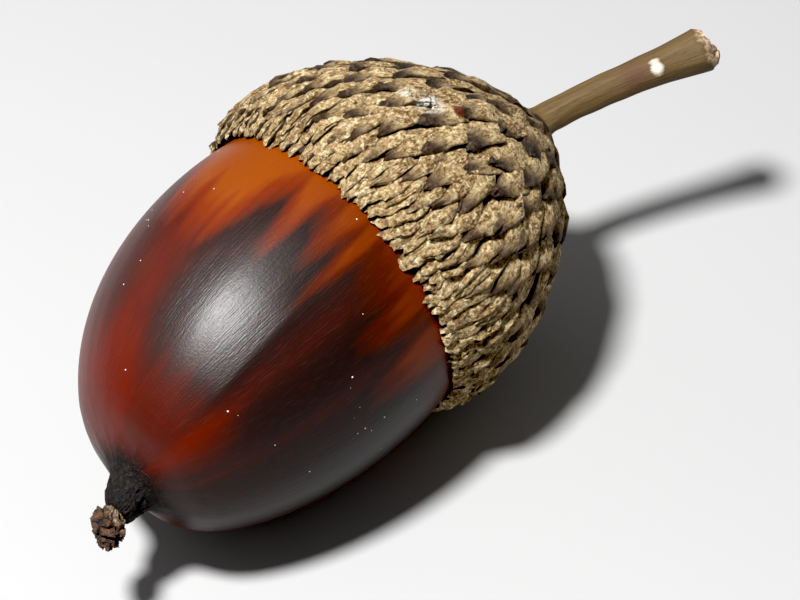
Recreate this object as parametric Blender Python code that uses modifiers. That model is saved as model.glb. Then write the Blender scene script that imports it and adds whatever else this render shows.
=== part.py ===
"""An acorn lying on its side on a small flat spot, its tip a little lower than its stalk.

The nut, the cup and the withered style are turned about the acorn's own axis: local Z, which runs from the
tip to the stalk, with the rim of the cup at zero. They are then laid down along X. Metres, +Z up.
"""

import math

import bpy
from mathutils import Vector, noise

# Nut: an egg-shaped body with a small rough cone at its tip.
NUT_RADIUS = 0.0090
NUT_HALF_LENGTH = 0.0139
NUT_MIDDLE = -0.0026
SHOULDER = (-0.0147, -0.0154, -0.0159, -0.0165, -0.0172)
SHOULDER_RADII = (0.0043, 0.0028, 0.0018, 0.0014, 0.0011)
CONE_END = -0.0175
CONE_END_RADIUS = 0.0007

# Cup: its outside is a parabola, widest a little way in from the rim.
CUP_RADIUS = 0.0097
CUP_WIDEST = 0.0028
CUP_RIM = 0.0001
CUP_RIM_RADIUS = 0.0093
CUP_VERTEX = 0.0160
CUP_FOOT_RADIUS = 0.0015
GAP = 0.0002

# The rim runs a little slantwise, further up the nut on one side.
RIM_SLANT = 0.00054
RIM_SLANT_SIDE = (0.295, 0.955)
RIM_SLANT_REACH = 0.006

# Scales on the cup, as rows of tiles that lift toward the rim.
SCALE_ROWS = 12
SCALES_AROUND = 26
SCALE_LIFT = 0.00042
SCALE_STAGGER = 0.00045
SCALE_LEAST_LIFT = 0.25
SCALE_BACK_LIFT = 0.15
SCALE_BACK_SHARE = 0.18
SCALE_UNEVENNESS = 0.5
SCALE_EDGE_WIDTH = 0.02
SEGMENTS_PER_SCALE = 4

# Stalk: the path of its middle after the foot of the cup, and its radius along that path.
STALK_BEND = 0.0016
STALK_LENGTH = 0.0086
STALK_DIRECTION = (0.850, -0.510, 0.180)
STALK_RADIUS = 0.00083
STALK_BASE_RADIUS = 0.0014
STALK_END_RADIUS = 0.0012
STALK_BASE_REACH = 0.07
STALK_END_REACH = 0.16
STALK_STEPS = 16
STALK_STEP_POWER = 1.3

# Withered style on the nut's cone.
STYLE_NECK_RADIUS = 0.00055
STYLE_KNOB_RADIUS = 0.00100
STYLE_LENGTH = 0.0020
STYLE_FLATNESS = 0.95
STYLE_ARC_STEPS = 12
STYLE_NECK_STEPS = 3
STYLE_ROUGHNESS = 0.28
STYLE_LUMPS_PER_METRE = 1500.0
STYLE_SEGMENTS = 18

# Pose: the axis climbs toward the stalk, and bows a little to one side at both ends.
TILT = math.radians(8.6)
RIM_HEIGHT = 0.0094
BOW = (0.0008, 0.00115)
BOW_MIDDLE = -0.0020
BOW_REACH = 0.0170

NUT_SEGMENTS = 48
BODY_STEPS = 22
OUTLINE_STEPS = 400
FLOOR_BLOCK_SIDE = 0.08


def clear_scene():
    for item in list(bpy.data.objects):
        bpy.data.objects.remove(item, do_unlink=True)


def collection(name):
    made = bpy.data.collections.new(name)
    bpy.context.scene.collection.children.link(made)
    return made


def material(name, color, roughness):
    made = bpy.data.materials.new(name)
    made.use_nodes = True
    shader = made.node_tree.nodes["Principled BSDF"]
    shader.inputs["Base Color"].default_value = (*color, 1.0)
    shader.inputs["Roughness"].default_value = roughness
    shader.inputs["Metallic"].default_value = 0.0
    return made


def cup_radius(height):
    """Radius of the cup's outside, under its scales, at a height on the axis."""
    if height < CUP_WIDEST:
        away = (CUP_WIDEST - height) / (CUP_WIDEST - CUP_RIM)
        return CUP_RADIUS - (CUP_RADIUS - CUP_RIM_RADIUS) * away * away
    away = (height - CUP_WIDEST) / (CUP_VERTEX - CUP_WIDEST)
    return CUP_RADIUS * (1.0 - away * away)


def turned(name, outline, segments, home):
    """A solid turned about local Z from its outline, a list of (radius, height) from top to bottom."""
    mesh = bpy.data.meshes.new(name)
    points = [(radius, 0.0, height) for radius, height in outline]
    mesh.from_pydata(points, [(i, i + 1) for i in range(len(points) - 1)], [])
    made = bpy.data.objects.new(name, mesh)
    home.objects.link(made)
    screw = made.modifiers.new("turn", "SCREW")
    screw.axis = "Z"
    screw.steps = segments
    screw.render_steps = segments
    screw.use_merge_vertices = True
    screw.merge_threshold = 0.00001
    settled = bpy.data.meshes.new_from_object(made.evaluated_get(bpy.context.evaluated_depsgraph_get()))
    made.modifiers.clear()
    made.data = settled
    settled.name = name
    return made


def bowed(height):
    """How far the axis stands aside at a height, toward -Y."""
    away = (height - BOW_MIDDLE) / BOW_REACH
    return -BOW[0] * away**2 - BOW[1] * away**4


def lay_down(piece):
    """Bows a turned piece with the axis and lays it along X with the rim at its height."""
    for vertex in piece.data.vertices:
        vertex.co.y += bowed(vertex.co.z)
    piece.rotation_euler = (0.0, math.pi / 2 - TILT, 0.0)
    piece.location = (0.0, 0.0, RIM_HEIGHT)


def cut(piece, cutter):
    subtract = piece.modifiers.new(f"cut by {cutter.name}", "BOOLEAN")
    subtract.operation = "DIFFERENCE"
    subtract.solver = "EXACT"
    subtract.object = cutter


def finish(piece, look, sharp=math.radians(50)):
    piece.data.materials.clear()
    piece.data.materials.append(look)
    for polygon in piece.data.polygons:
        polygon.use_smooth = True
    piece.data.set_sharp_from_angle(angle=sharp)


def body_outline(grow):
    """The nut's outline from its base to its shoulder, grown by a clearance."""
    start = NUT_MIDDLE + NUT_HALF_LENGTH
    outline = [(0.0, start + grow)]
    reach = math.acos((SHOULDER[0] - NUT_MIDDLE) / NUT_HALF_LENGTH)
    for step in range(1, BODY_STEPS + 1):
        turn = reach * step / BODY_STEPS
        height = NUT_MIDDLE + (NUT_HALF_LENGTH + grow) * math.cos(turn)
        outline.append(((NUT_RADIUS + grow) * math.sin(turn), height))
    return outline


def make_nut(home, look):
    outline = body_outline(0.0)
    outline[-1] = (SHOULDER_RADII[0], SHOULDER[0])
    outline += [(radius, height) for radius, height in zip(SHOULDER_RADII[1:], SHOULDER[1:])]
    outline += [(CONE_END_RADIUS, CONE_END), (0.0, CONE_END)]
    nut = turned("nut", outline, NUT_SEGMENTS, home)
    finish(nut, look)
    lay_down(nut)
    return nut


def row_heights():
    """Heights of the rows' free edges, an even distance apart along the cup's outside, from foot to rim."""
    heights = [CUP_RIM + (foot_height() - CUP_RIM) * i / OUTLINE_STEPS for i in range(OUTLINE_STEPS + 1)]
    lengths = [0.0]
    for low, high in zip(heights, heights[1:]):
        lengths.append(lengths[-1] + math.hypot(high - low, cup_radius(high) - cup_radius(low)))
    rows = []
    for row in range(SCALE_ROWS + 1):
        target = lengths[-1] * row / SCALE_ROWS
        index = min(range(OUTLINE_STEPS + 1), key=lambda i: abs(lengths[i] - target))
        rows.append(heights[index])
    return rows[::-1]


def foot_height():
    """Height at which the cup has narrowed to its foot, where the stalk grows."""
    return CUP_WIDEST + (CUP_VERTEX - CUP_WIDEST) * math.sqrt(1.0 - CUP_FOOT_RADIUS / CUP_RADIUS)


def raise_scales(cup, rows):
    """Lifts and staggers the rings of a turned cup into overlapping scales."""
    edge = SCALE_EDGE_WIDTH * (rows[0] - rows[-1]) / SCALE_ROWS
    for vertex in cup.data.vertices:
        radius = math.hypot(vertex.co.x, vertex.co.y)
        if radius < CUP_FOOT_RADIUS * 1.01:
            continue
        angle = math.atan2(vertex.co.y, vertex.co.x)
        row = min(range(1, SCALE_ROWS + 1), key=lambda i: abs(rows[i] - vertex.co.z))
        at_edge = abs(vertex.co.z - rows[row]) < edge
        beat = SCALES_AROUND * angle / math.tau + 0.5 * (row % 2)
        ridge = math.cos(math.pi * (beat - round(beat))) ** 2
        wobble = noise.noise(Vector((round(beat) * 3.7, row * 5.1, 0.5)))
        if at_edge and row < SCALE_ROWS:
            lift = SCALE_LIFT * (SCALE_LEAST_LIFT + (1.0 - SCALE_LEAST_LIFT) * ridge)
            lift *= 1.0 + SCALE_UNEVENNESS * wobble
            vertex.co.z += SCALE_STAGGER * (0.5 - ridge)
        else:
            lift = SCALE_LIFT * SCALE_BACK_LIFT * ridge
        vertex.co.x += lift * vertex.co.x / radius
        vertex.co.y += lift * vertex.co.y / radius


def slant_rim(cup):
    """Slides the rings near the rim along the axis, one side up and the other down."""
    for vertex in cup.data.vertices:
        hold = max(0.0, 1.0 - (vertex.co.z - CUP_RIM) / RIM_SLANT_REACH)
        across = vertex.co.x * RIM_SLANT_SIDE[0] + vertex.co.y * RIM_SLANT_SIDE[1]
        vertex.co.z += RIM_SLANT * min(hold, 1.0) * across / CUP_RIM_RADIUS


def make_cup(home, cutters, look):
    rows = row_heights()
    outline = [(0.0, rows[0]), (CUP_FOOT_RADIUS, rows[0])]
    for above, below in zip(rows, rows[1:]):
        behind = above - SCALE_BACK_SHARE * (above - below)
        outline += [(cup_radius(behind), behind), (cup_radius(below), below)]
    outline.append((0.0, rows[-1]))
    cup = turned("cup", outline, SCALES_AROUND * SEGMENTS_PER_SCALE, home)
    raise_scales(cup, rows)
    slant_rim(cup)
    lay_down(cup)
    cavity = turned("cavity_cutter", body_outline(GAP) + [(0.0, SHOULDER[0])], NUT_SEGMENTS, cutters)
    lay_down(cavity)
    cut(cup, cavity)
    finish(cup, look)
    return cup


def make_stalk(home, look):
    """A round stalk that leaves the foot of the cup along the axis, then leans to one side."""
    along = Vector((math.cos(TILT), 0.0, math.sin(TILT)))
    foot = Vector((0.0, bowed(foot_height()), RIM_HEIGHT)) + along * (foot_height() + GAP)
    bend = foot + along * STALK_BEND
    end = bend + Vector(STALK_DIRECTION).normalized() * STALK_LENGTH
    curve = bpy.data.curves.new("stalk", "CURVE")
    curve.dimensions = "3D"
    curve.bevel_depth = 1.0
    curve.bevel_resolution = 3
    curve.use_fill_caps = True
    spline = curve.splines.new("POLY")
    spline.points.add(STALK_STEPS)
    for index, point in enumerate(spline.points):
        way = (index / STALK_STEPS) ** STALK_STEP_POWER
        place = foot * (1 - way) ** 2 + bend * 2 * way * (1 - way) + end * way**2
        point.co = (*place, 1.0)
        flare = (STALK_BASE_RADIUS - STALK_RADIUS) * math.exp(-way / STALK_BASE_REACH)
        ending = (STALK_END_RADIUS - STALK_RADIUS) * math.exp(-(1 - way) / STALK_END_REACH)
        point.radius = STALK_RADIUS + flare + ending
    stalk = bpy.data.objects.new("stalk", curve)
    home.objects.link(stalk)
    curve.materials.append(look)
    return stalk


def make_style(home, look):
    """The dry, crumbly knob left of the flower, on a short neck."""
    top = CONE_END - GAP
    outline = [(0.0, top), (STYLE_NECK_RADIUS, top)]
    knob_half = STYLE_KNOB_RADIUS * STYLE_FLATNESS
    middle = top - STYLE_LENGTH + knob_half
    for step in range(STYLE_NECK_STEPS, STYLE_ARC_STEPS + 1):
        turn = math.pi * step / STYLE_ARC_STEPS
        outline.append((STYLE_KNOB_RADIUS * math.sin(turn), middle + knob_half * math.cos(turn)))
    outline[-1] = (0.0, outline[-1][1])
    style = turned("style_remnant", outline, STYLE_SEGMENTS, home)
    for vertex in style.data.vertices:
        if vertex.co.z < top - STYLE_NECK_RADIUS * 0.5:
            outward = Vector((vertex.co.x, vertex.co.y, vertex.co.z - middle))
            vertex.co += outward * STYLE_ROUGHNESS * noise.noise(outward * STYLE_LUMPS_PER_METRE)
    finish(style, look)
    lay_down(style)
    return style


def add_floor_cutter(cutters):
    """A block whose top is the surface, to cut the flat spots."""
    bpy.ops.mesh.primitive_cube_add(size=1.0, location=(0.0, 0.0, -FLOOR_BLOCK_SIDE / 2))
    block = bpy.context.object
    block.name = "floor_cutter"
    block.scale = (FLOOR_BLOCK_SIDE, FLOOR_BLOCK_SIDE, FLOOR_BLOCK_SIDE)
    for owner in list(block.users_collection):
        owner.objects.unlink(block)
    cutters.objects.link(block)
    return block


def centre_on_origin(pieces):
    """Moves the pieces so that their box stands on the origin at the middle of its bottom face."""
    bpy.context.view_layer.update()
    graph = bpy.context.evaluated_depsgraph_get()
    corners = []
    for piece in pieces:
        mesh = piece.evaluated_get(graph).to_mesh()
        corners += [piece.matrix_world @ vertex.co for vertex in mesh.vertices]
    for side in (0, 1):
        values = [corner[side] for corner in corners]
        middle = (min(values) + max(values)) / 2
        for item in bpy.data.objects:
            item.location[side] -= middle


def build():
    clear_scene()
    acorn = collection("acorn")
    cutters = collection("cutters")
    nut = make_nut(acorn, material("nut_shell", (0.17, 0.035, 0.012), 0.18))
    cup = make_cup(acorn, cutters, material("cup_scales", (0.28, 0.17, 0.08), 0.85))
    stalk = make_stalk(acorn, material("stalk_bark", (0.20, 0.13, 0.05), 0.8))
    style = make_style(acorn, material("style_crust", (0.12, 0.07, 0.04), 0.9))
    floor = add_floor_cutter(cutters)
    cut(nut, floor)
    cut(cup, floor)
    for cutter in cutters.objects:
        cutter.hide_render = True
        cutter.display_type = "WIRE"
    centre_on_origin([nut, cup, stalk, style])


build()
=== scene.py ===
"""An acorn lying on its side: a glossy nut in a cup of overlapping scales, with a stalk and a withered style."""

import math
import random

import bmesh
import bpy
from mathutils import Matrix, Vector, noise


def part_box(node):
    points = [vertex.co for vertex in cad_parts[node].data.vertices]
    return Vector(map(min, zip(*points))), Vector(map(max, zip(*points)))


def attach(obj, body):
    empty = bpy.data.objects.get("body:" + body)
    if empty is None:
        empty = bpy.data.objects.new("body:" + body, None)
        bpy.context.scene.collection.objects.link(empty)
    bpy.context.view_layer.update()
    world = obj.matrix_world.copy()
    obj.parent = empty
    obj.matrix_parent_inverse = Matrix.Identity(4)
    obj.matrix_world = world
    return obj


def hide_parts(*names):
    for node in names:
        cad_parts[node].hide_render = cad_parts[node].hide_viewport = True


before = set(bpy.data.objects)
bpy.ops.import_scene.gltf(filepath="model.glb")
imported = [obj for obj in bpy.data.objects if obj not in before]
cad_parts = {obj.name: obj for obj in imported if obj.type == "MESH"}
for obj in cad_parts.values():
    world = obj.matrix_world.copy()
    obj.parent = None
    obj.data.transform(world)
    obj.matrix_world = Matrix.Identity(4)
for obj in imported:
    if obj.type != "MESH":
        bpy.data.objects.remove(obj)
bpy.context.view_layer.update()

MM = 0.001


# ---------------------------------------------------------------------------------------------------------
# Nut. A smooth, hard shell grown in one piece, amber where the cup shaded it and nearly black where it was
# bare, with a rough black cone at its tip. It sits in the cup, which it grew in. It is made standing on the
# acorn's axis, rim at zero and tip down, and then laid along the frame.
NUT_RADIUS = 9.0 * MM
NUT_HALF_LENGTH = 13.9 * MM
NUT_MIDDLE = -2.6 * MM
SHOULDER_HEIGHT = -14.4 * MM
# Radius and height in millimetres, from the shoulder in to the point of the cone.
TIP_OUTLINE = [(4.75, -14.4), (4.0, -14.97), (3.0, -15.42), (2.15, -15.75), (1.54, -16.1), (1.26, -16.5),
               (1.13, -16.95), (0.98, -17.35), (0.72, -17.7), (0.36, -17.86), (0.0, -17.9)]
CONE_ASIDE = 0.26 * MM
TILT = math.radians(8.6)
FRONT = math.radians(-147.9)
RIM_FROM_NUT_END = 11.24 * MM
RIM_BELOW_NUT_TOP = 8.75 * MM
CREASE_ANGLE = math.radians(3.3)
CREASE_LEAN = math.radians(0.32)

nut_low, nut_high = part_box("nut")
rim_centre = Vector((nut_high.x - RIM_FROM_NUT_END, (nut_low.y + nut_high.y) / 2, nut_high.z - RIM_BELOW_NUT_TOP))
axis_turn = Matrix.Rotation(math.pi / 2 - TILT, 4, "Y") @ Matrix.Rotation(FRONT, 4, "Z")


def bowed(height):
    """How far the acorn's axis stands aside at a height, toward -Y of the frame."""
    away = (height + 2.0 * MM) / (17.0 * MM)
    return Vector((0.0, -(0.8 * away**2 + 1.15 * away**4) * MM, 0.0))


def lay_down(piece):
    """Lays a piece that stands on the acorn's axis along the frame, flat on the floor where it rests."""
    for vertex in piece.data.vertices:
        vertex.co = rim_centre + axis_turn @ vertex.co + bowed(vertex.co.z)
        vertex.co.z = max(vertex.co.z, 0.0)
    piece.data.update()


def smooth_step(low, high, value):
    way = min(1.0, max(0.0, (value - low) / (high - low)))
    return way * way * (3.0 - 2.0 * way)


def along_outline(outline, way):
    """A point on a smooth line through the outline's points, from 0 at the first to 1 at the last."""
    place = way * (len(outline) - 1)
    index = min(int(place), len(outline) - 2)
    step = place - index
    before, start, end, after = (outline[min(max(i, 0), len(outline) - 1)] for i in range(index - 1, index + 3))
    point = []
    for b, s, e, a in zip(before, start, end, after):
        point.append(0.5 * (2 * s + (e - b) * step + (2 * b - 5 * s + 4 * e - a) * step**2
                            + (3 * s - b - 3 * e + a) * step**3))
    return point


def shape_nut(nut):
    """Gives the stretched sphere its pointed tip, its crease and the faint flutes along its length."""
    start = math.acos((SHOULDER_HEIGHT - NUT_MIDDLE) / NUT_HALF_LENGTH)
    for vertex in nut.data.vertices:
        polar = math.acos(max(-1.0, min(1.0, vertex.co.z / NUT_HALF_LENGTH)))
        angle = math.atan2(vertex.co.y, vertex.co.x)
        if polar > start:
            tip_way = (polar - start) / (math.pi - start)
            radius, height = (value * MM for value in along_outline(TIP_OUTLINE, tip_way))
        else:
            radius, height = NUT_RADIUS * math.sin(polar), NUT_MIDDLE + NUT_HALF_LENGTH * math.cos(polar)
        side = Vector((math.cos(angle), math.sin(angle), 0.0))
        body = smooth_step(-16.2, -13.5, height / MM)
        swell = 0.045 * noise.noise(side * 1.9 + Vector((0, 0, height / MM * 0.035)))
        swell += 0.022 * noise.noise(side * 7.0 + Vector((0, 3, height / MM * 0.03)))
        lean = CREASE_ANGLE - CREASE_LEAN * (height / MM + 9.5)
        off_crease = (angle - lean) * radius / MM
        reach = smooth_step(-13.6, -11.5, height / MM) * (1 - smooth_step(-7.5, -4.5, height / MM))
        swell += 0.15 * reach * math.exp(off_crease / 1.5 if off_crease < 0 else -off_crease / 0.9)
        crust = 0.09 * (1 - body) * noise.noise(Vector((side.x, side.y, height / MM * 0.8)) * 4.3)
        cone = 1 - smooth_step(-16.4, -15.8, height / MM)
        crust += 0.05 * cone * noise.noise(side * 9 + Vector((0, 0, height / MM * 6)))
        radius = max(0.0, radius + (swell * body + crust) * MM) if polar < math.pi - 0.001 else 0.0
        aside = CONE_ASIDE * (1 - smooth_step(-16.6, -14.4, height / MM))
        vertex.co = side * radius + Vector((0.0, aside, height))


# The tongues of amber along the rim: middle and half width in degrees round the nut, length in millimetres.
TONGUES = [(-62, 11, 5.6), (-45, 12, 6.4), (-22, 4.6, 5.0), (-8, 4.2, 4.2), (1, 2.6, 5.2), (18, 7, 2.9),
           (27, 5.0, 4.4), (46, 6.5, 5.2), (118, 14, 4.2), (141, 9, 5.6), (163, 11, 3.6), (-158, 12, 5.4),
           (-132, 8, 3.2), (-112, 10, 5.2)]
AMBER_LEAST = 1.5


def bell(value, middle, half):
    return math.exp(-(((value - middle) / half) ** 2))


def amber_reach(angle):
    """How far amber runs up the shell from the rim at an angle, in tongues that end blunt."""
    reach = AMBER_LEAST + 0.9 * bell(angle, 22, 26)
    for middle, half, length in TONGUES:
        aside = abs((angle - middle + 180) % 360 - 180) / half
        reach = max(reach, AMBER_LEAST + (length - AMBER_LEAST) * math.exp(-((aside**2) ** 1.5)))
    return reach


def mark_ripeness(nut):
    """Writes how far each point has turned from amber, how red it is, where the tip's crust and dust lie, and
    where the amber is painted darker in shade.
    """
    mesh = nut.data
    names = ("ripe", "red", "cone", "dust", "deep_shade")
    for name in names:
        mesh.attributes.new(name, "FLOAT", "POINT")
    ripe, red, cone, dust, deep_shade = (mesh.attributes[name] for name in names)
    for vertex in mesh.vertices:
        index, height = vertex.index, vertex.co.z / MM
        angle = math.degrees(math.atan2(vertex.co.y, vertex.co.x))
        side = Vector((vertex.co.x, vertex.co.y, 0.0)).normalized()
        drift = 2.5 * noise.noise(side * 5.0 + Vector((0, 0, height * 0.3)))
        fray = 0.9 * noise.noise(side * 26.0 + Vector((5, 0, height * 0.10)))
        edge = -amber_reach(angle + drift) + fray
        ripe.data[index].value = max(0.0, min(1.0, (edge + 3.0 - height) / 4.2))
        back = smooth_step(75, 110, abs(angle))
        glow = 0.66 * bell(angle, -50, 13) + 0.45 * bell(angle, -84, 22) + 0.30 * bell(angle, 12, 7)
        glow += 0.22 * bell(angle, 37, 3) + 0.06 + back * (0.35 + 0.6 * noise.noise(side * 2.3))
        tip_end = 1 - smooth_step(-14.4, -10.4, height + 1.3 * noise.noise(side * 7.0))
        glow += 0.62 * tip_end * (1 - 0.85 * smooth_step(12, 42, angle)) * (1 - 0.5 * back)
        red.data[index].value = max(0.0, min(1.0, glow))
        # Painted shade mixed with the shell's own deeper tone: the amber darkens round the nut toward the side
        # turned from the light, and is half darkened all over the back.
        deep_shade.data[index].value = smooth_step(-48, 14, angle) * (1 - back) + 0.5 * back
        cone.data[index].value = 1 - smooth_step(-16.0, -15.35, height + 0.25 * noise.noise(side * 5))
        patch = bell(angle, 50, 9) * bell(height, -6.3, 0.9)
        patch += 0.8 * bell(angle, 72, 6) * bell(height, -6.5, 1.3)
        patch += 0.8 * bell(angle, -68, 9) * bell(height, -6.0, 1.1)
        dust.data[index].value = min(1.0, patch)


bpy.ops.object.select_all(action="DESELECT")
bpy.ops.mesh.primitive_uv_sphere_add(segments=288, ring_count=180, radius=1.0)
nut_shell = bpy.context.object
nut_shell.name = "nut_shell"
bpy.ops.object.mode_set(mode="EDIT")
bpy.ops.mesh.select_all(action="SELECT")
bpy.ops.transform.resize(value=(NUT_RADIUS, NUT_RADIUS, NUT_HALF_LENGTH))
bpy.ops.object.mode_set(mode="OBJECT")
shape_nut(nut_shell)
mark_ripeness(nut_shell)
lay_down(nut_shell)
bpy.ops.object.shade_smooth()


class Nodes:
    """A material's nodes, added and joined in the order that they are read."""

    def __init__(self, name):
        self.material = bpy.data.materials.new(name)
        self.material.use_nodes = True
        self.tree = self.material.node_tree
        self.shader = self.tree.nodes["Principled BSDF"]

    def add(self, kind, **settings):
        node = self.tree.nodes.new(kind)
        for name, value in settings.items():
            setattr(node, name, value)
        return node

    def join(self, source, target):
        self.tree.links.new(source, target)

    def fill(self, socket, value):
        if isinstance(value, bpy.types.NodeSocket):
            self.join(value, socket)
        elif value is not None:
            socket.default_value = value

    def attribute(self, name):
        return self.add("ShaderNodeAttribute", attribute_name=name).outputs["Fac"]

    def math(self, operation, first, second=None, third=None, clamp=False):
        node = self.add("ShaderNodeMath", operation=operation, use_clamp=clamp)
        for socket, value in zip(node.inputs, (first, second, third)):
            self.fill(socket, value)
        return node.outputs[0]

    def spread(self, value, low, high):
        """Stretches a value so that low becomes 0 and high becomes 1, and holds it there."""
        node = self.add("ShaderNodeMapRange", clamp=True)
        self.fill(node.inputs["Value"], value)
        node.inputs["From Min"].default_value = low
        node.inputs["From Max"].default_value = high
        return node.outputs[0]

    def noise(self, vector, scale, detail=3.0, roughness=0.55, distortion=0.0):
        node = self.add("ShaderNodeTexNoise")
        self.fill(node.inputs["Vector"], vector)
        node.inputs["Scale"].default_value = scale
        node.inputs["Detail"].default_value = detail
        node.inputs["Roughness"].default_value = roughness
        node.inputs["Distortion"].default_value = distortion
        return node.outputs["Fac"]

    def mix(self, share, first, second):
        """The first colour where the share is 0, running to the second where it is 1."""
        node = self.add("ShaderNodeMix", data_type="RGBA")
        self.fill(node.inputs["Factor"], share)
        for socket, value in ((node.inputs[6], first), (node.inputs[7], second)):
            self.fill(socket, value if isinstance(value, bpy.types.NodeSocket) else (*value, 1.0))
        return node.outputs[2]

    def acorn_space(self, stretch=(1.0, 1.0, 1.0)):
        """Millimetres on the acorn's own axis, with the front at angle zero."""
        place = self.add("ShaderNodeTexCoord").outputs["Object"]
        turn = self.add("ShaderNodeMapping", vector_type="TEXTURE")
        turn.inputs["Location"].default_value = rim_centre
        turn.inputs["Rotation"].default_value = axis_turn.to_euler()
        turn.inputs["Scale"].default_value = (MM, MM, MM)
        self.join(place, turn.inputs["Vector"])
        if stretch == (1.0, 1.0, 1.0):
            return turn.outputs[0]
        scale = self.add("ShaderNodeVectorMath", operation="MULTIPLY")
        scale.inputs[1].default_value = stretch
        self.join(turn.outputs[0], scale.inputs[0])
        return scale.outputs[0]

    def around(self, height_share):
        """The direction out from the axis, with a little height: streaks that follow the meridians."""
        side = self.add("ShaderNodeVectorMath", operation="NORMALIZE")
        self.join(self.acorn_space((1.0, 1.0, 0.0)), side.inputs[0])
        lift = self.add("ShaderNodeVectorMath", operation="MULTIPLY")
        lift.inputs[1].default_value = (0.0, 0.0, height_share)
        self.join(self.acorn_space(), lift.inputs[0])
        both = self.add("ShaderNodeVectorMath", operation="ADD")
        self.join(side.outputs[0], both.inputs[0])
        self.join(lift.outputs[0], both.inputs[1])
        return both.outputs[0]

    def near(self, angle, height, far, close):
        """1 near a spot on the cup, given by its angle and height, and 0 further off than far, in millimetres."""
        turn, radius = math.radians(angle), cup_radius(height * MM) / MM + 0.2
        gap = self.add("ShaderNodeVectorMath", operation="DISTANCE")
        self.join(self.acorn_space(), gap.inputs[0])
        gap.inputs[1].default_value = (radius * math.cos(turn), radius * math.sin(turn), height)
        return self.spread(gap.outputs["Value"], far, close)

    def bump(self, height, distance, strength=1.0, normal=None):
        node = self.add("ShaderNodeBump")
        node.inputs["Strength"].default_value = strength
        node.inputs["Distance"].default_value = distance
        self.join(height, node.inputs["Height"])
        if normal is not None:
            self.join(normal, node.inputs["Normal"])
        return node.outputs[0]


def polished_shell():
    """Amber, red-brown and purple-black under a waxy shine, with fine streaks, a silky grain with a faint painted
    sheen of pale threads, and dust; the amber is darkened partly by painted shade.
    """
    nearly_black, plum, dark_red = (0.0110, 0.0078, 0.0074), (0.0230, 0.0078, 0.0064), (0.080, 0.0075, 0.0028)
    look = Nodes("polished_shell")
    ripe, red, deep_shade = look.attribute("ripe"), look.attribute("red"), look.attribute("deep_shade")
    streaks = look.noise(look.around(0.02), 26.0, 4.0, 0.65)
    threads = look.noise(look.around(0.012), 95.0, 2.0, 0.5)
    clouds = look.noise(look.around(0.09), 4.5, 3.0, 0.5)
    uneven = look.math("MULTIPLY_ADD", look.math("SUBTRACT", streaks, 0.5), 0.6,
                       look.math("MULTIPLY", look.math("SUBTRACT", clouds, 0.5), 0.5))
    warm = look.math("ADD", red, look.math("MULTIPLY", uneven, 0.7), clamp=True)
    dark = look.mix(look.spread(warm, 0.02, 0.35), nearly_black, plum)
    dark = look.mix(look.spread(warm, 0.30, 1.0), dark, dark_red)
    # The amber and the rust darken round the nut: partly the shell's own deeper tone, partly painted shade on the
    # side turned from the light.
    amber = look.mix(deep_shade, (0.176, 0.037, 0.0042), (0.108, 0.0165, 0.0030))
    rust = look.mix(deep_shade, (0.125, 0.0170, 0.0038), (0.050, 0.0085, 0.0030))
    turned = look.math("MULTIPLY_ADD", uneven, 0.50, ripe)
    skin = look.mix(look.spread(turned, 0.05, 0.45), amber, rust)
    skin = look.mix(look.spread(turned, 0.50, 1.0), skin, dark)
    # Painted sheen: faint pale threads put into the colour along the shell's fine grain, where its silky shine
    # would catch the light.
    painted_sheen_threads = look.math("MULTIPLY", look.spread(threads, 0.55, 0.75), 0.02)
    skin = look.mix(painted_sheen_threads, skin, (0.30, 0.20, 0.16))
    crusty = look.noise(look.acorn_space(), 5.0, 4.0, 0.7)
    black = look.mix(look.spread(crusty, 0.52, 0.68), (0.004, 0.0035, 0.0035), (0.034, 0.020, 0.012))
    skin = look.mix(look.attribute("cone"), skin, black)
    grains = look.add("ShaderNodeTexVoronoi", feature="F1")
    grains.inputs["Scale"].default_value = 3.4
    look.join(look.acorn_space(), grains.inputs["Vector"])
    pick = look.add("ShaderNodeSeparateColor")
    look.join(grains.outputs["Color"], pick.inputs[0])
    crowding = look.math("MULTIPLY_ADD", look.attribute("dust"), 0.55, 0.035)
    chosen = look.math("LESS_THAN", pick.outputs[0], crowding)
    size = look.math("MULTIPLY_ADD", pick.outputs[1], 0.13, 0.035)
    fleck = look.math("MULTIPLY", chosen, look.math("LESS_THAN", grains.outputs["Distance"], size))
    skin = look.mix(fleck, skin, (0.70, 0.67, 0.61))
    look.join(skin, look.shader.inputs["Base Color"])
    grain = look.noise(look.acorn_space((1.0, 1.0, 0.6)), 11.0, 2.0, 0.6)
    rough = look.math("MULTIPLY_ADD", look.attribute("cone"), 0.25, 0.38)
    look.join(look.math("MAXIMUM", rough, look.math("MULTIPLY", fleck, 0.9)), look.shader.inputs["Roughness"])
    look.shader.inputs["Specular IOR Level"].default_value = 0.27
    normal = look.bump(threads, 0.022 * MM, 0.6)
    normal = look.bump(grain, 0.008 * MM, 0.9, normal)
    normal = look.bump(look.math("MULTIPLY", crusty, look.attribute("cone")), 0.16 * MM, 0.9, normal)
    look.join(normal, look.shader.inputs["Normal"])
    return look.material


nut_shell.data.materials.append(polished_shell())
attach(nut_shell, "root")
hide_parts("nut")


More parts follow.
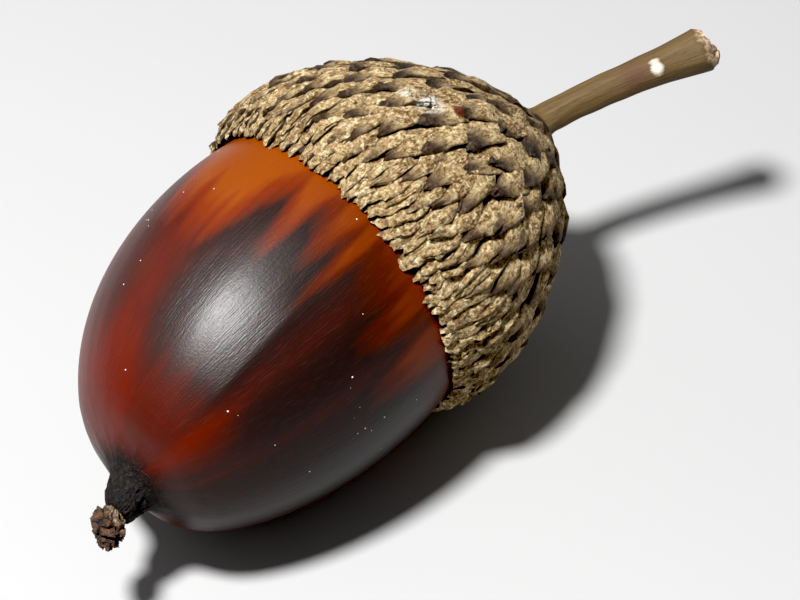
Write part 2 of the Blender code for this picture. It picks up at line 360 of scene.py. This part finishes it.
# ---------------------------------------------------------------------------------------------------------
# Cup wall. The woody bowl that the scales grow on, grown round the nut and onto the stalk: one closed wall
# from foot to rim and back down inside, drawn out ring by ring. Only dark slits of it show between the scales,
# and its rim stands back behind the fringe.
CUP_RADIUS = 9.7 * MM
CUP_WIDEST = 2.8 * MM
CUP_RIM = 0.1 * MM
CUP_RIM_RADIUS = 9.3 * MM
CUP_VERTEX = 16.0 * MM
CUP_FOOT = 14.8 * MM
WALL_INSET = 0.30 * MM
NUT_GAP = 0.12 * MM
WALL_RIM = CUP_RIM + 0.4 * MM
SLANT_SIDE = math.atan2(0.955, 0.295) - FRONT
SLANT = 0.54 * MM
WALL_STEPS = 30
HOLLOW_STEPS = 15


def cup_radius(height):
    """Radius of the cup over its scales at a height on the axis."""
    if height < CUP_WIDEST:
        away = (CUP_WIDEST - height) / (CUP_WIDEST - CUP_RIM)
        return CUP_RADIUS - (CUP_RADIUS - CUP_RIM_RADIUS) * away * away
    away = (height - CUP_WIDEST) / (CUP_VERTEX - CUP_WIDEST)
    return CUP_RADIUS * (1.0 - away * away)


def slanted(point):
    """Slides a point on the cup along the axis as the slanting rim asks, less and less away from the rim."""
    hold = min(1.0, max(0.0, 1.0 - (point.z - CUP_RIM) / (6.0 * MM)))
    across = point.x * math.cos(SLANT_SIDE) + point.y * math.sin(SLANT_SIDE)
    return point + Vector((0.0, 0.0, SLANT * hold * across / CUP_RIM_RADIUS))


def draw_ring(radius, height, last):
    """Extrudes the selected ring of edges to a new radius and height."""
    bpy.ops.mesh.extrude_edges_move(TRANSFORM_OT_translate={"value": (0.0, 0.0, height - last[1])})
    share = radius / last[0]
    bpy.ops.transform.resize(value=(share, share, 1.0), center_override=(0.0, 0.0, height))
    return radius, height


bpy.ops.object.select_all(action="DESELECT")
ring = (cup_radius(WALL_RIM) - WALL_INSET, WALL_RIM)
bpy.ops.mesh.primitive_circle_add(vertices=128, radius=ring[0], location=(0.0, 0.0, ring[1]))
cup_wall = bpy.context.object
cup_wall.name = "cup_wall"
bpy.ops.object.transform_apply(location=True)
bpy.ops.object.mode_set(mode="EDIT")
bpy.ops.mesh.select_mode(type="EDGE")
bpy.ops.mesh.select_all(action="SELECT")
for step in range(1, WALL_STEPS + 1):
    height = CUP_RIM + (CUP_FOOT - CUP_RIM) * step / WALL_STEPS
    inset = WALL_INSET + 0.35 * MM * smooth_step(7.0, 14.5, height / MM)
    ring = draw_ring(cup_radius(height) - inset, height, ring)
bpy.ops.mesh.edge_face_add()
bpy.ops.mesh.select_all(action="DESELECT")
bpy.ops.object.mode_set(mode="OBJECT")
for edge in cup_wall.data.edges:
    edge.select = all(cup_wall.data.vertices[i].co.z < WALL_RIM + 0.01 * MM for i in edge.vertices)
bpy.ops.object.mode_set(mode="EDIT")
ring = (cup_radius(WALL_RIM) - WALL_INSET, WALL_RIM)
inside = NUT_HALF_LENGTH + NUT_GAP
for step in range(HOLLOW_STEPS + 1):
    depth = math.sin(math.pi / 2 * step / HOLLOW_STEPS)
    height = WALL_RIM + (NUT_MIDDLE + inside - 0.25 * MM - WALL_RIM) * depth
    away = (height - NUT_MIDDLE) / inside
    ring = draw_ring((NUT_RADIUS + NUT_GAP) * math.sqrt(1.0 - away * away) - 0.08 * MM, height, ring)
bpy.ops.mesh.edge_face_add()
bpy.ops.mesh.select_all(action="SELECT")
bpy.ops.mesh.normals_make_consistent(inside=False)
bpy.ops.object.mode_set(mode="OBJECT")
for vertex in cup_wall.data.vertices:
    vertex.co = slanted(vertex.co)
lay_down(cup_wall)
bpy.ops.object.shade_smooth()

wall_look = Nodes("dark_wood")
fibres = wall_look.noise(wall_look.around(0.06), 30.0, 4.0, 0.6)
wood = wall_look.mix(wall_look.spread(fibres, 0.35, 0.7), (0.014, 0.008, 0.004), (0.050, 0.027, 0.012))
wall_look.join(wood, wall_look.shader.inputs["Base Color"])
wall_look.shader.inputs["Roughness"].default_value = 0.9
wall_look.join(wall_look.bump(fibres, 0.08 * MM), wall_look.shader.inputs["Normal"])
cup_wall.data.materials.append(wall_look.material)
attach(cup_wall, "root")
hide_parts("cup")


# ---------------------------------------------------------------------------------------------------------
# Cup scales. Some two hundred and fifty woody scales, each a thick triangle with a dark pointed tip turned
# to the rim, grown fast to the cup's wall by its root. They grow one after another at the golden angle, so
# they lie in crossing spirals.
GOLDEN_TURN = math.pi * (3.0 - math.sqrt(5.0))
OUTLINE_STEPS = 300
outline_heights = [CUP_RIM + (CUP_FOOT - CUP_RIM) * i / OUTLINE_STEPS for i in range(OUTLINE_STEPS + 1)]
outline_lengths = [0.0]
for low, high in zip(outline_heights, outline_heights[1:]):
    outline_lengths.append(outline_lengths[-1] + math.hypot(high - low, cup_radius(high) - cup_radius(low)))
FOOT_LENGTH = outline_lengths[-1]


def height_at(length):
    """Height on the axis at a length along the cup's outside from its rim; past the rim it runs straight on."""
    if length <= 0.0:
        return CUP_RIM + length
    share = min(length, FOOT_LENGTH * 0.9999)
    low, high = 0, len(outline_lengths) - 1
    while high - low > 1:
        middle = (low + high) // 2
        low, high = (middle, high) if outline_lengths[middle] <= share else (low, middle)
    step = (share - outline_lengths[low]) / (outline_lengths[high] - outline_lengths[low])
    return outline_heights[low] + (outline_heights[high] - outline_heights[low]) * step


def on_cup(length, angle, lift):
    """A point over the cup's outside, so far along it from the rim, so far round it and so far out from it."""
    height = height_at(length)
    nearby = 0.05 * MM
    slope = (cup_radius(height + nearby) - cup_radius(height - nearby)) / (2 * nearby)
    out = Vector((1.0, -slope)).normalized()
    lift -= 0.50 * MM * smooth_step(12.0, 18.5, length / MM) + WALL_INSET
    radius = max(0.05 * MM, cup_radius(height) + lift * out.x)
    return slanted(Vector((radius * math.cos(angle), radius * math.sin(angle), height + lift * out.y)))


def model_scale(name, across, along):
    """One scale, two units wide and one long, made from a grid that is drawn down into a slab."""
    bpy.ops.object.select_all(action="DESELECT")
    bpy.ops.mesh.primitive_grid_add(x_subdivisions=across, y_subdivisions=along, size=2.0)
    scale = bpy.context.object
    scale.name = name
    bpy.ops.object.mode_set(mode="EDIT")
    bpy.ops.mesh.select_all(action="SELECT")
    bpy.ops.transform.translate(value=(0.0, 1.0, 0.0))
    bpy.ops.transform.resize(value=(1.0, 0.5, 1.0), center_override=(0.0, 0.0, 0.0))
    bpy.ops.mesh.extrude_region_move(TRANSFORM_OT_translate={"value": (0.0, 0.0, -1.0)})
    bpy.ops.mesh.select_all(action="SELECT")
    bpy.ops.mesh.normals_make_consistent(inside=False)
    bpy.ops.object.mode_set(mode="OBJECT")
    return scale


def half_width(way, blunt):
    """Share of a scale's width at a share of its length: full near the root, drawn in straight to its tip."""
    root = 0.80 + 0.20 * smooth_step(0.0, 0.25, way)
    return root * (1.0 - (1.0 - blunt) * max(0.0, (way - 0.42) / 0.58) ** 0.85)


def lay_scale(mesh, layers, master, spot, size, style, seed):
    """Adds a copy of the model scale to the mesh, bent to the cup at its spot, and marks it for its material."""
    draw = random.Random(seed)
    length, angle = spot
    wide, long, thick = size
    lean = style["lean"] + draw.gauss(0.0, style["sway"])
    twist = draw.gauss(style["twist"], 0.06)
    rise = style["rise"] * draw.uniform(0.75, 1.3)
    shade, keel = draw.random(), draw.uniform(0.10, 0.45)
    hook = draw.gauss(-0.10, 0.10)
    offset = Vector((draw.random(), draw.random(), draw.random())) * 50.0
    start = len(mesh.verts)
    mesh.from_mesh(master.data)
    mesh.verts.ensure_lookup_table()
    around_radius = max(0.8 * MM, cup_radius(height_at(length + long * 0.4)))
    for vertex in mesh.verts[start:]:
        across, way, top = vertex.co.x, 1.0 - (1.0 - vertex.co.y) ** 1.4, vertex.co.z > -0.5
        half = half_width(way, style["blunt"]) * wide / 2
        frayed = style["ragged"] * smooth_step(0.6, 1.0, way)
        x = across * half * (1.0 + 0.30 * noise.noise(offset + Vector((0, way * 4, across))))
        x += hook * long * 0.5 * smooth_step(0.6, 1.0, way) ** 2
        y = (1.0 - way) * long - frayed * long * 0.30 * noise.noise(offset + Vector((across * 2.3, 0, 0)))
        y += 0.05 * long * abs(across) * smooth_step(0.8, 1.0, way)
        x, y = x - y * math.sin(lean), y + x * math.sin(lean)
        dome = 1.0 - (0.62 - 0.30 * way) * across * across
        nose = 1.0 - 0.65 * smooth_step(0.90, 1.0, way)
        body = thick * (0.45 + 0.55 * smooth_step(0.0, 0.35, way))
        body = body * (1.0 - 0.35 * smooth_step(0.45, 0.9, way)) * nose
        lift = rise * way**1.3 - 0.06 * MM * (1 - way)
        if top:
            lift += body * dome + keel * thick * max(0.0, 0.4 - abs(across))
            lift += 0.55 * thick * noise.noise(offset + Vector((across * 1.7, way * 3.6, 0.0)))
            lift += 0.36 * thick * noise.noise(offset + Vector((across * 4.5, way * 9.0, 7.0)))
        else:
            lift -= 0.05 * MM
        lift += twist * across * half
        vertex.co = on_cup(length + y, angle + x / around_radius, lift)
        vertex[layers["tip"]] = way
        vertex[layers["shade"]] = shade
        vertex[layers["age"]] = min(1.0, max(0.0, length / FOOT_LENGTH))
        vertex[layers["rib"]] = across
        # Marks a scale's underside and side walls, which the material paints in shade.
        vertex[layers["deep_shade"]] = 0.0 if top else 1.0
        vertex[layers["soot"]] = style["soot"]


def scale_mesh():
    """An empty mesh with the layers that the scales' material reads."""
    mesh = bmesh.new()
    names = ("tip", "shade", "age", "rib", "deep_shade", "soot")
    return mesh, {name: mesh.verts.layers.float.new(name) for name in names}


def settle_scales(mesh, name, material):
    """Turns the gathered scales into one laid-down piece that rides with the acorn."""
    piece = bpy.data.objects.new(name, bpy.data.meshes.new(name))
    bpy.context.scene.collection.objects.link(piece)
    mesh.to_mesh(piece.data)
    mesh.free()
    lay_down(piece)
    for polygon in piece.data.polygons:
        polygon.use_smooth = True
    piece.data.set_sharp_from_angle(angle=math.radians(55))
    piece.data.materials.append(material)
    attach(piece, "root")
    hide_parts("cup")


def felted_scale():
    """Dry tan wood under a pale felt of short hairs, rubbed dark at each scale's tip, with painted shade along
    each scale's long edges and on its underside.
    """
    look = Nodes("felted_scale")
    tip, shade, age = look.attribute("tip"), look.attribute("shade"), look.attribute("age")
    fleck = look.noise(look.acorn_space(), 3.6, 5.0, 0.8)
    blotch = look.noise(look.acorn_space(), 1.1, 3.0, 0.6)
    lie = look.add("ShaderNodeCombineXYZ")
    look.join(look.math("MULTIPLY", look.attribute("rib"), 4.5), lie.inputs[0])
    look.join(look.math("MULTIPLY", tip, 5.0), lie.inputs[1])
    look.join(look.math("MULTIPLY", shade, 60.0), lie.inputs[2])
    hairs = look.noise(lie.outputs[0], 2.2, 5.0, 0.75, 0.8)
    tone = look.math("MULTIPLY_ADD", look.math("SUBTRACT", shade, 0.5), 0.14, blotch)
    wood = look.mix(look.spread(tone, 0.36, 0.62), (0.240, 0.115, 0.032), (0.560, 0.380, 0.170))
    wood = look.mix(look.math("MULTIPLY", look.spread(blotch, 0.54, 0.66), 0.55), wood, (0.130, 0.062, 0.022))
    wood = look.mix(look.math("MULTIPLY", look.spread(hairs, 0.50, 0.60), 0.80), wood, (0.90, 0.70, 0.36))
    wood = look.mix(look.math("MULTIPLY", look.spread(hairs, 0.46, 0.36), 0.92), wood, (0.045, 0.018, 0.006))
    wood = look.mix(look.math("MULTIPLY", look.spread(fleck, 0.53, 0.60), 0.80), wood, (0.97, 0.85, 0.56))
    wood = look.mix(look.math("MULTIPLY", look.spread(fleck, 0.47, 0.40), 0.80), wood, (0.060, 0.028, 0.010))
    side = look.math("ABSOLUTE", look.attribute("rib"))
    # Painted shade: each scale darkens nearly to black along its long edges, where the cracks between scales are
    # in shadow.
    wood = look.mix(look.math("MULTIPLY", look.spread(side, 0.82, 0.98), 0.85), wood, (0.016, 0.008, 0.004))
    reach = look.math("MULTIPLY_ADD", look.math("SUBTRACT", fleck, 0.5), 0.45, tip)
    reach = look.math("MULTIPLY_ADD", look.math("SUBTRACT", shade, 0.5), 0.16, reach)
    soot = look.mix(look.spread(age, 0.12, 0.50), (0.052, 0.026, 0.015), (0.016, 0.012, 0.010))
    soot = look.mix(look.math("MULTIPLY", look.spread(fleck, 0.48, 0.60), 0.50), soot, (0.25, 0.17, 0.10))
    wood = look.mix(look.math("MULTIPLY", look.spread(reach, 0.63, 0.87), look.attribute("soot")), wood, soot)
    weather = look.math("MULTIPLY", look.spread(age, 0.55, 0.92), 0.75)
    old = look.mix(look.spread(fleck, 0.42, 0.60), (0.045, 0.024, 0.014), (0.210, 0.135, 0.075))
    wood = look.mix(weather, wood, old)
    near_bloom = look.math("MAXIMUM", look.near(-18, 7.1, 1.0, 0.35), look.near(-26, 6.7, 0.7, 0.2))
    bloom = look.math("MULTIPLY", near_bloom, look.spread(fleck, 0.46, 0.53))
    wood = look.mix(bloom, wood, (0.80, 0.78, 0.70))
    wood = look.mix(look.math("MULTIPLY", look.near(-10.5, 7.9, 0.48, 0.36), 0.85), wood, (0.16, 0.026, 0.010))
    # Painted shade: the undersides and side walls of the scales are darkened nearly to black.
    wood = look.mix(look.math("MULTIPLY", look.attribute("deep_shade"), 0.92), wood, (0.008, 0.005, 0.003))
    look.join(wood, look.shader.inputs["Base Color"])
    look.shader.inputs["Roughness"].default_value = 0.75
    look.shader.inputs["Specular IOR Level"].default_value = 0.35
    normal = look.bump(blotch, 0.25 * MM, 0.8)
    normal = look.bump(hairs, 0.16 * MM, 1.0, normal)
    normal = look.bump(fleck, 0.20 * MM, 1.0, normal)
    look.join(normal, look.shader.inputs["Normal"])
    return look.material


felt = felted_scale()
scale_model = model_scale("scale_model", 4, 6)
mesh, layers = scale_mesh()
length, turn, count = FOOT_LENGTH - 1.0 * MM, 0.0, 0
while length > 0.75 * MM:
    nearness = smooth_step(0.8, 4.5, length / MM)
    room = (0.9 + 2.5 * nearness + 1.5 * smooth_step(4.0, 9.0, length / MM)) * MM * MM
    room *= 1.0 - 0.45 * smooth_step(13.5, 17.0, length / MM)
    span = math.sqrt(room)
    style = {"lean": 0.06, "sway": 0.09, "rise": 0.32 * MM, "twist": 0.08, "blunt": 0.20, "ragged": 0.15,
             "soot": smooth_step(0.2, 2.4, length / MM)}
    size = (span * (1.02 + 0.16 * nearness), span * (2.6 - 0.25 * nearness) + 0.7 * MM * (1 - nearness),
            (0.42 - 0.14 * smooth_step(11.0, 17.0, length / MM)) * MM)
    jitter = random.Random(count)
    radius = cup_radius(height_at(length))
    spot = (length + jitter.gauss(0.0, 0.10) * span, turn + jitter.gauss(0.0, 0.06) * span / radius)
    lay_scale(mesh, layers, scale_model, spot, size, style, 1000 + count)
    length -= room / (2 * math.pi * radius)
    turn += GOLDEN_TURN
    count += 1
settle_scales(mesh, "cup_scales", felt)


# ---------------------------------------------------------------------------------------------------------
# Rim fringe. The youngest scales, thin narrow woody strips crowded side by side along the rim in three ranks.
# They grow from the wall like the others, and their frayed ends lap a little way over the nut.
fringe_model = model_scale("fringe_model", 3, 6)
mesh, layers = scale_mesh()
# Strips in the rank, how far their tips stand back from the rim, how much that varies, and their width.
FRINGE_RANKS = ((78, 1.35, 0.45, 1.0), (82, 0.45, 0.25, 1.0), (84, -0.08, 0.12, 0.98))
for rank, (strips, tip_length, spread, wide) in enumerate(FRINGE_RANKS):
    for strip in range(strips):
        draw = random.Random(7000 + 100 * rank + strip)
        spot = ((tip_length + draw.uniform(-spread, spread)) * MM,
                math.tau * (strip + 0.35 * draw.random() + 0.5 * rank) / strips)
        size = (wide * draw.uniform(0.75, 1.2) * MM, draw.uniform(2.0, 2.7) * MM, (0.34 - 0.03 * rank) * MM)
        style = {"lean": 0.16, "sway": 0.08, "rise": (0.30 - 0.16 * rank) * MM, "twist": 0.24,
                 "blunt": 0.62, "ragged": 0.6, "soot": 0.10}
        lay_scale(mesh, layers, fringe_model, spot, size, style, 9000 + 100 * rank + strip)
settle_scales(mesh, "rim_fringe", felt)
for model in (scale_model, fringe_model):
    bpy.data.objects.remove(model)


# ---------------------------------------------------------------------------------------------------------
# Stalk. A thin woody stem grown out of the cup's foot, flared where it joins and where it broke off the twig.
# Its bark is olive brown, with one pale scar beside a dark patch, and the wood shows in its torn end.
STALK_RADIUS = 0.83 * MM
STALK_ROOT = 0.35 * MM
STALK_BEND = 1.6 * MM
STALK_LENGTH = 8.6 * MM
STALK_DIRECTION = Vector((0.870, -0.480, 0.205)).normalized()
STALK_RINGS = 70
STALK_SIDES = 40
SCAR_SIDE = Vector((-0.53, -0.48, 0.69))
SCAR_WAY = 0.83
BLUSH_WAY = 0.74

acorn_axis = Vector((math.cos(TILT), 0.0, math.sin(TILT)))
stalk_foot = rim_centre + bowed(CUP_FOOT) + acorn_axis * (CUP_FOOT - STALK_ROOT)
stalk_bend = stalk_foot + acorn_axis * (STALK_BEND + STALK_ROOT)
stalk_end = stalk_bend + STALK_DIRECTION * STALK_LENGTH


def stalk_point(way):
    """A point on the stalk's middle line, from 0 at the cup to 1 at the broken end."""
    return stalk_foot * (1 - way) ** 2 + stalk_bend * 2 * way * (1 - way) + stalk_end * way**2


def stalk_width(way):
    """Radius of the stalk: flared where it leaves the cup, and again where it broke from the twig."""
    return (STALK_RADIUS + 0.40 * MM * math.exp(-way / 0.05) + 0.18 * MM * math.exp(-way / 0.2)
            + 0.44 * MM * math.exp(-(1 - way) / 0.14))


bpy.ops.object.select_all(action="DESELECT")
bpy.ops.mesh.primitive_cylinder_add(vertices=STALK_SIDES, radius=1.0, depth=1.0, location=(0.0, 0.0, 0.5))
stalk = bpy.context.object
stalk.name = "stalk_stem"
bpy.ops.object.transform_apply(location=True)
bpy.ops.object.mode_set(mode="EDIT")
bpy.ops.mesh.select_all(action="SELECT")
for ring_number in range(1, STALK_RINGS):
    bpy.ops.mesh.select_all(action="SELECT")
    bpy.ops.mesh.bisect(plane_co=(0, 0, ring_number / STALK_RINGS), plane_no=(0, 0, 1))
bpy.ops.object.mode_set(mode="OBJECT")
for polygon in stalk.data.polygons:
    polygon.select = polygon.normal.z > 0.9
bpy.ops.object.mode_set(mode="EDIT")
bpy.ops.mesh.select_mode(type="FACE")
for shrink in (0.18, 0.22, 0.25):
    bpy.ops.mesh.inset(thickness=shrink)
bpy.ops.mesh.poke()
bpy.ops.object.mode_set(mode="OBJECT")
for name in ("torn", "scar", "blush"):
    stalk.data.attributes.new(name, "FLOAT", "POINT")
stalk.data.attributes.new("grain", "FLOAT_VECTOR", "POINT")
names = ("torn", "scar", "blush", "grain")
torn_layer, scar_layer, blush_layer, grain_layer = (stalk.data.attributes[name] for name in names)
for vertex in stalk.data.vertices:
    way = vertex.co.z
    share = math.hypot(vertex.co.x, vertex.co.y)
    side = Vector((vertex.co.x, vertex.co.y, 0.0)).normalized() if share > 0.001 else Vector((0, 0, 0))
    ahead = (stalk_point(min(1.0, way + 0.01)) - stalk_point(max(0.0, way - 0.01))).normalized()
    across = ahead.cross(Vector((0, 0, 1))).normalized()
    upward = across.cross(ahead)
    grooves = 0.045 * noise.noise(side * 2.6 + Vector((0, 0, way * 2.0)))
    grooves += 0.020 * noise.noise(side * 8.0 + Vector((4, 0, way * 5.0)))
    lump = 0.05 * noise.noise(Vector((side.x, side.y, way * 9.0)))
    width = stalk_width(way) * share * (1.0 + grooves + lump)
    torn = 0.0
    if way > 0.999:
        torn = (0.30 * noise.noise(side * 1.7 + Vector((share * 2.5, 9, 0))) - 0.20 * side.y) * MM
        torn += (0.15 + 0.55 * smooth_step(1.0, 0.75, share) + 0.30 * noise.noise(vertex.co * 6.0)) * MM
    torn_layer.data[vertex.index].value = 1.0 if way > 0.999 and share < 0.93 else 0.0
    grain_layer.data[vertex.index].vector = (side.x, side.y, way)
    out = across * side.x + upward * side.y
    facing = out.dot((SCAR_SIDE - ahead * SCAR_SIDE.dot(ahead)).normalized())
    turned_away = math.degrees(math.acos(max(-1.0, min(1.0, facing))))
    scar = math.exp(-((turned_away / 30) ** 2) - ((way - SCAR_WAY) / 0.026) ** 2)
    blush = math.exp(-((turned_away / 60) ** 2) - ((way - BLUSH_WAY) / 0.06) ** 2)
    scar_layer.data[vertex.index].value = scar
    blush_layer.data[vertex.index].value = blush
    vertex.co = stalk_point(way) + out * (width + 0.12 * MM * scar) + ahead * torn
bpy.ops.object.shade_smooth_by_angle(angle=math.radians(50))

bark = Nodes("stalk_bark")
lie = bark.add("ShaderNodeVectorMath", operation="MULTIPLY")
lie.inputs[1].default_value = (1.0, 1.0, 0.55)
bark.join(bark.add("ShaderNodeAttribute", attribute_name="grain").outputs["Vector"], lie.inputs[0])
grain = bark.noise(lie.outputs[0], 14.0, 4.0, 0.65)
mottle = bark.noise(lie.outputs[0], 2.6, 3.0, 0.6)
skin = bark.mix(bark.spread(mottle, 0.36, 0.64), (0.066, 0.039, 0.009), (0.110, 0.064, 0.018))
skin = bark.mix(bark.math("MULTIPLY", bark.spread(grain, 0.5, 0.7), 0.45), skin, (0.145, 0.094, 0.038))
skin = bark.mix(bark.math("MULTIPLY", bark.spread(grain, 0.46, 0.34), 0.5), skin, (0.030, 0.017, 0.005))
skin = bark.mix(bark.math("MULTIPLY", bark.attribute("blush"), 0.85), skin, (0.072, 0.028, 0.012))
scarred = bark.math("MULTIPLY_ADD", mottle, 1.2, bark.attribute("scar"))
skin = bark.mix(bark.spread(scarred, 0.85, 1.35), skin, (0.66, 0.60, 0.49))
splinters = bark.noise(bark.acorn_space(), 5.0, 3.0, 0.7)
torn_wood = bark.mix(bark.spread(splinters, 0.4, 0.6), (0.19, 0.11, 0.06), (0.60, 0.44, 0.30))
skin = bark.mix(bark.attribute("torn"), skin, torn_wood)
bark.join(skin, bark.shader.inputs["Base Color"])
bark.shader.inputs["Roughness"].default_value = 0.7
bark.join(bark.bump(grain, 0.06 * MM), bark.shader.inputs["Normal"])
stalk.data.materials.append(bark.material)
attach(stalk, "root")
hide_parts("stalk")


# ---------------------------------------------------------------------------------------------------------
# Withered style. What the flower left at the nut's tip: a short pale neck and a dry, crumbly brown knob,
# grown onto the cone. Both are swollen out of one ball in lumps.
KNOB_MIDDLE = -18.56 * MM
KNOB_RADIUS = 0.90 * MM
KNOB_ASIDE = 0.30 * MM
NECK_LENGTH = 0.30 * MM

bpy.ops.object.select_all(action="DESELECT")
bpy.ops.mesh.primitive_ico_sphere_add(subdivisions=6, radius=1.0)
knob = bpy.context.object
knob.name = "style_knob"
names = ("neck", "lump", "top")
for name in names:
    knob.data.attributes.new(name, "FLOAT", "POINT")
neck_layer, crevice_shade_layer, top_layer = (knob.data.attributes[name] for name in names)
for vertex in knob.data.vertices:
    out = vertex.co.normalized()
    cells = noise.voronoi(out * 1.25 + Vector((3, 1, 7)))[0]
    crevice = min(1.0, (cells[1] - cells[0]) / 0.25)
    lumps = 0.34 * math.sqrt(crevice) - 0.22 + 0.22 * noise.noise(out * 4.0) + 0.10 * noise.noise(out * 13.0)
    neck_share = smooth_step(0.45, 0.95, out.z)
    radius = KNOB_RADIUS * (1.0 + lumps * (1 - 0.7 * neck_share))
    height = KNOB_MIDDLE + out.z * radius + neck_share * NECK_LENGTH
    wide = radius * (1.0 - 0.25 * neck_share + 0.35 * smooth_step(0.8, 1.0, out.z))
    neck_layer.data[vertex.index].value = neck_share
    # Marks the crevices between the lumps, which the material paints in shade.
    crevice_shade_layer.data[vertex.index].value = crevice
    top_layer.data[vertex.index].value = smooth_step(0.25, 1.0, 0.45 * out.x + 0.15 * out.y + 0.80 * out.z)
    vertex.co = Vector((out.x * wide, out.y * wide + KNOB_ASIDE, height))
lay_down(knob)
bpy.ops.object.shade_smooth()

crust = Nodes("style_crust")
crumbs = crust.noise(crust.acorn_space(), 4.2, 4.0, 0.75)
skin = crust.mix(crust.spread(crumbs, 0.40, 0.60), (0.012, 0.007, 0.006), (0.095, 0.042, 0.018))
pale = crust.mix(crust.spread(crumbs, 0.45, 0.62), (0.070, 0.035, 0.018), (0.42, 0.33, 0.20))
skin = crust.mix(crust.math("MULTIPLY", crust.attribute("top"), 0.85), skin, pale)
# Painted shade: the crevices between the knob's lumps are darkened nearly to black.
skin = crust.mix(crust.spread(crust.attribute("lump"), 0.5, 0.1), skin, (0.010, 0.007, 0.008))
skin = crust.mix(crust.math("MULTIPLY", crust.attribute("neck"), 0.50), skin, (0.40, 0.32, 0.17))
crust.join(skin, crust.shader.inputs["Base Color"])
crust.shader.inputs["Roughness"].default_value = 0.85
crust.join(crust.bump(crumbs, 0.10 * MM), crust.shader.inputs["Normal"])
knob.data.materials.append(crust.material)
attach(knob, "root")
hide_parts("style_remnant")


# ---------------------------------------------------------------------------------------------------------
# Studio. A plain pale floor, one small lamp up and to the left, a weak softbox behind, a pale surround and
# the camera. The black level is raised a little, so that the deepest shadows go to black.
bpy.ops.mesh.primitive_plane_add(size=0.7, location=(0.0, 0.0, 0.0))
floor = bpy.context.object
floor.name = "floor"
paper = bpy.data.materials.new("paper")
paper.use_nodes = True
paper.node_tree.nodes["Principled BSDF"].inputs["Base Color"].default_value = (0.36, 0.36, 0.36, 1.0)
paper.node_tree.nodes["Principled BSDF"].inputs["Roughness"].default_value = 0.9
floor.data.materials.append(paper)


def direction(azimuth, elevation):
    """From the acorn toward something at an azimuth, 0 in front and 90 to the right, and an elevation."""
    turn, climb = math.radians(azimuth), math.radians(elevation)
    return Vector((math.sin(turn) * math.cos(climb), -math.cos(turn) * math.cos(climb), math.sin(climb)))


CAMERA_AZIMUTH = -48
CAMERA_ELEVATION = 44
CAMERA_DISTANCE = 0.180
AIM_RIGHT = 3.87 * MM
AIM_DOWN = 1.19 * MM
camera_back = direction(CAMERA_AZIMUTH, CAMERA_ELEVATION)
camera_right = direction(CAMERA_AZIMUTH + 90, 0)
camera_up = camera_back.cross(camera_right)
target = rim_centre + camera_right * AIM_RIGHT - camera_up * AIM_DOWN
camera_data = bpy.data.cameras.new("camera")
camera_data.lens = 154.0
camera_data.sensor_width = 36.0
camera_data.clip_start = 0.01
camera = bpy.data.objects.new("camera", camera_data)
bpy.context.scene.collection.objects.link(camera)
camera.location = target + camera_back * CAMERA_DISTANCE
camera.rotation_euler = camera_back.to_track_quat("Z", "Y").to_euler()
bpy.context.scene.camera = camera

LAMP_DISTANCE = 0.25
LAMP_AIM = Vector((0.0, 0.0, 8.0 * MM))
lamp_direction = direction(-91, 68)
lamp_data = bpy.data.lights.new("lamp", "AREA")
lamp_data.shape = "DISK"
lamp_data.size = 0.04
lamp_data.energy = 1.60
lamp = bpy.data.objects.new("lamp", lamp_data)
bpy.context.scene.collection.objects.link(lamp)
lamp.location = LAMP_AIM + lamp_direction * LAMP_DISTANCE
lamp.rotation_euler = lamp_direction.to_track_quat("Z", "Y").to_euler()

SOFTBOX_DISTANCE = 0.35
softbox_direction = Vector((-0.28, 0.82, 0.50)).normalized()
softbox_data = bpy.data.lights.new("softbox", "AREA")
softbox_data.shape = "SQUARE"
softbox_data.size = 0.30
softbox_data.energy = 0.16
softbox = bpy.data.objects.new("softbox", softbox_data)
bpy.context.scene.collection.objects.link(softbox)
softbox.location = softbox_direction * SOFTBOX_DISTANCE
softbox.rotation_euler = softbox_direction.to_track_quat("Z", "Y").to_euler()

surround = bpy.data.worlds.new("surround")
surround.use_nodes = True
surround.node_tree.nodes["Background"].inputs["Color"].default_value = (1.0, 1.0, 1.0, 1.0)
surround.node_tree.nodes["Background"].inputs["Strength"].default_value = 0.20
bpy.context.scene.world = surround

BLACK_LEVEL = 0.018
tones = bpy.context.scene.view_settings
tones.view_transform = "Standard"
tones.use_curve_mapping = True
tones.curve_mapping.black_level = (BLACK_LEVEL, BLACK_LEVEL, BLACK_LEVEL)
tones.curve_mapping.update()
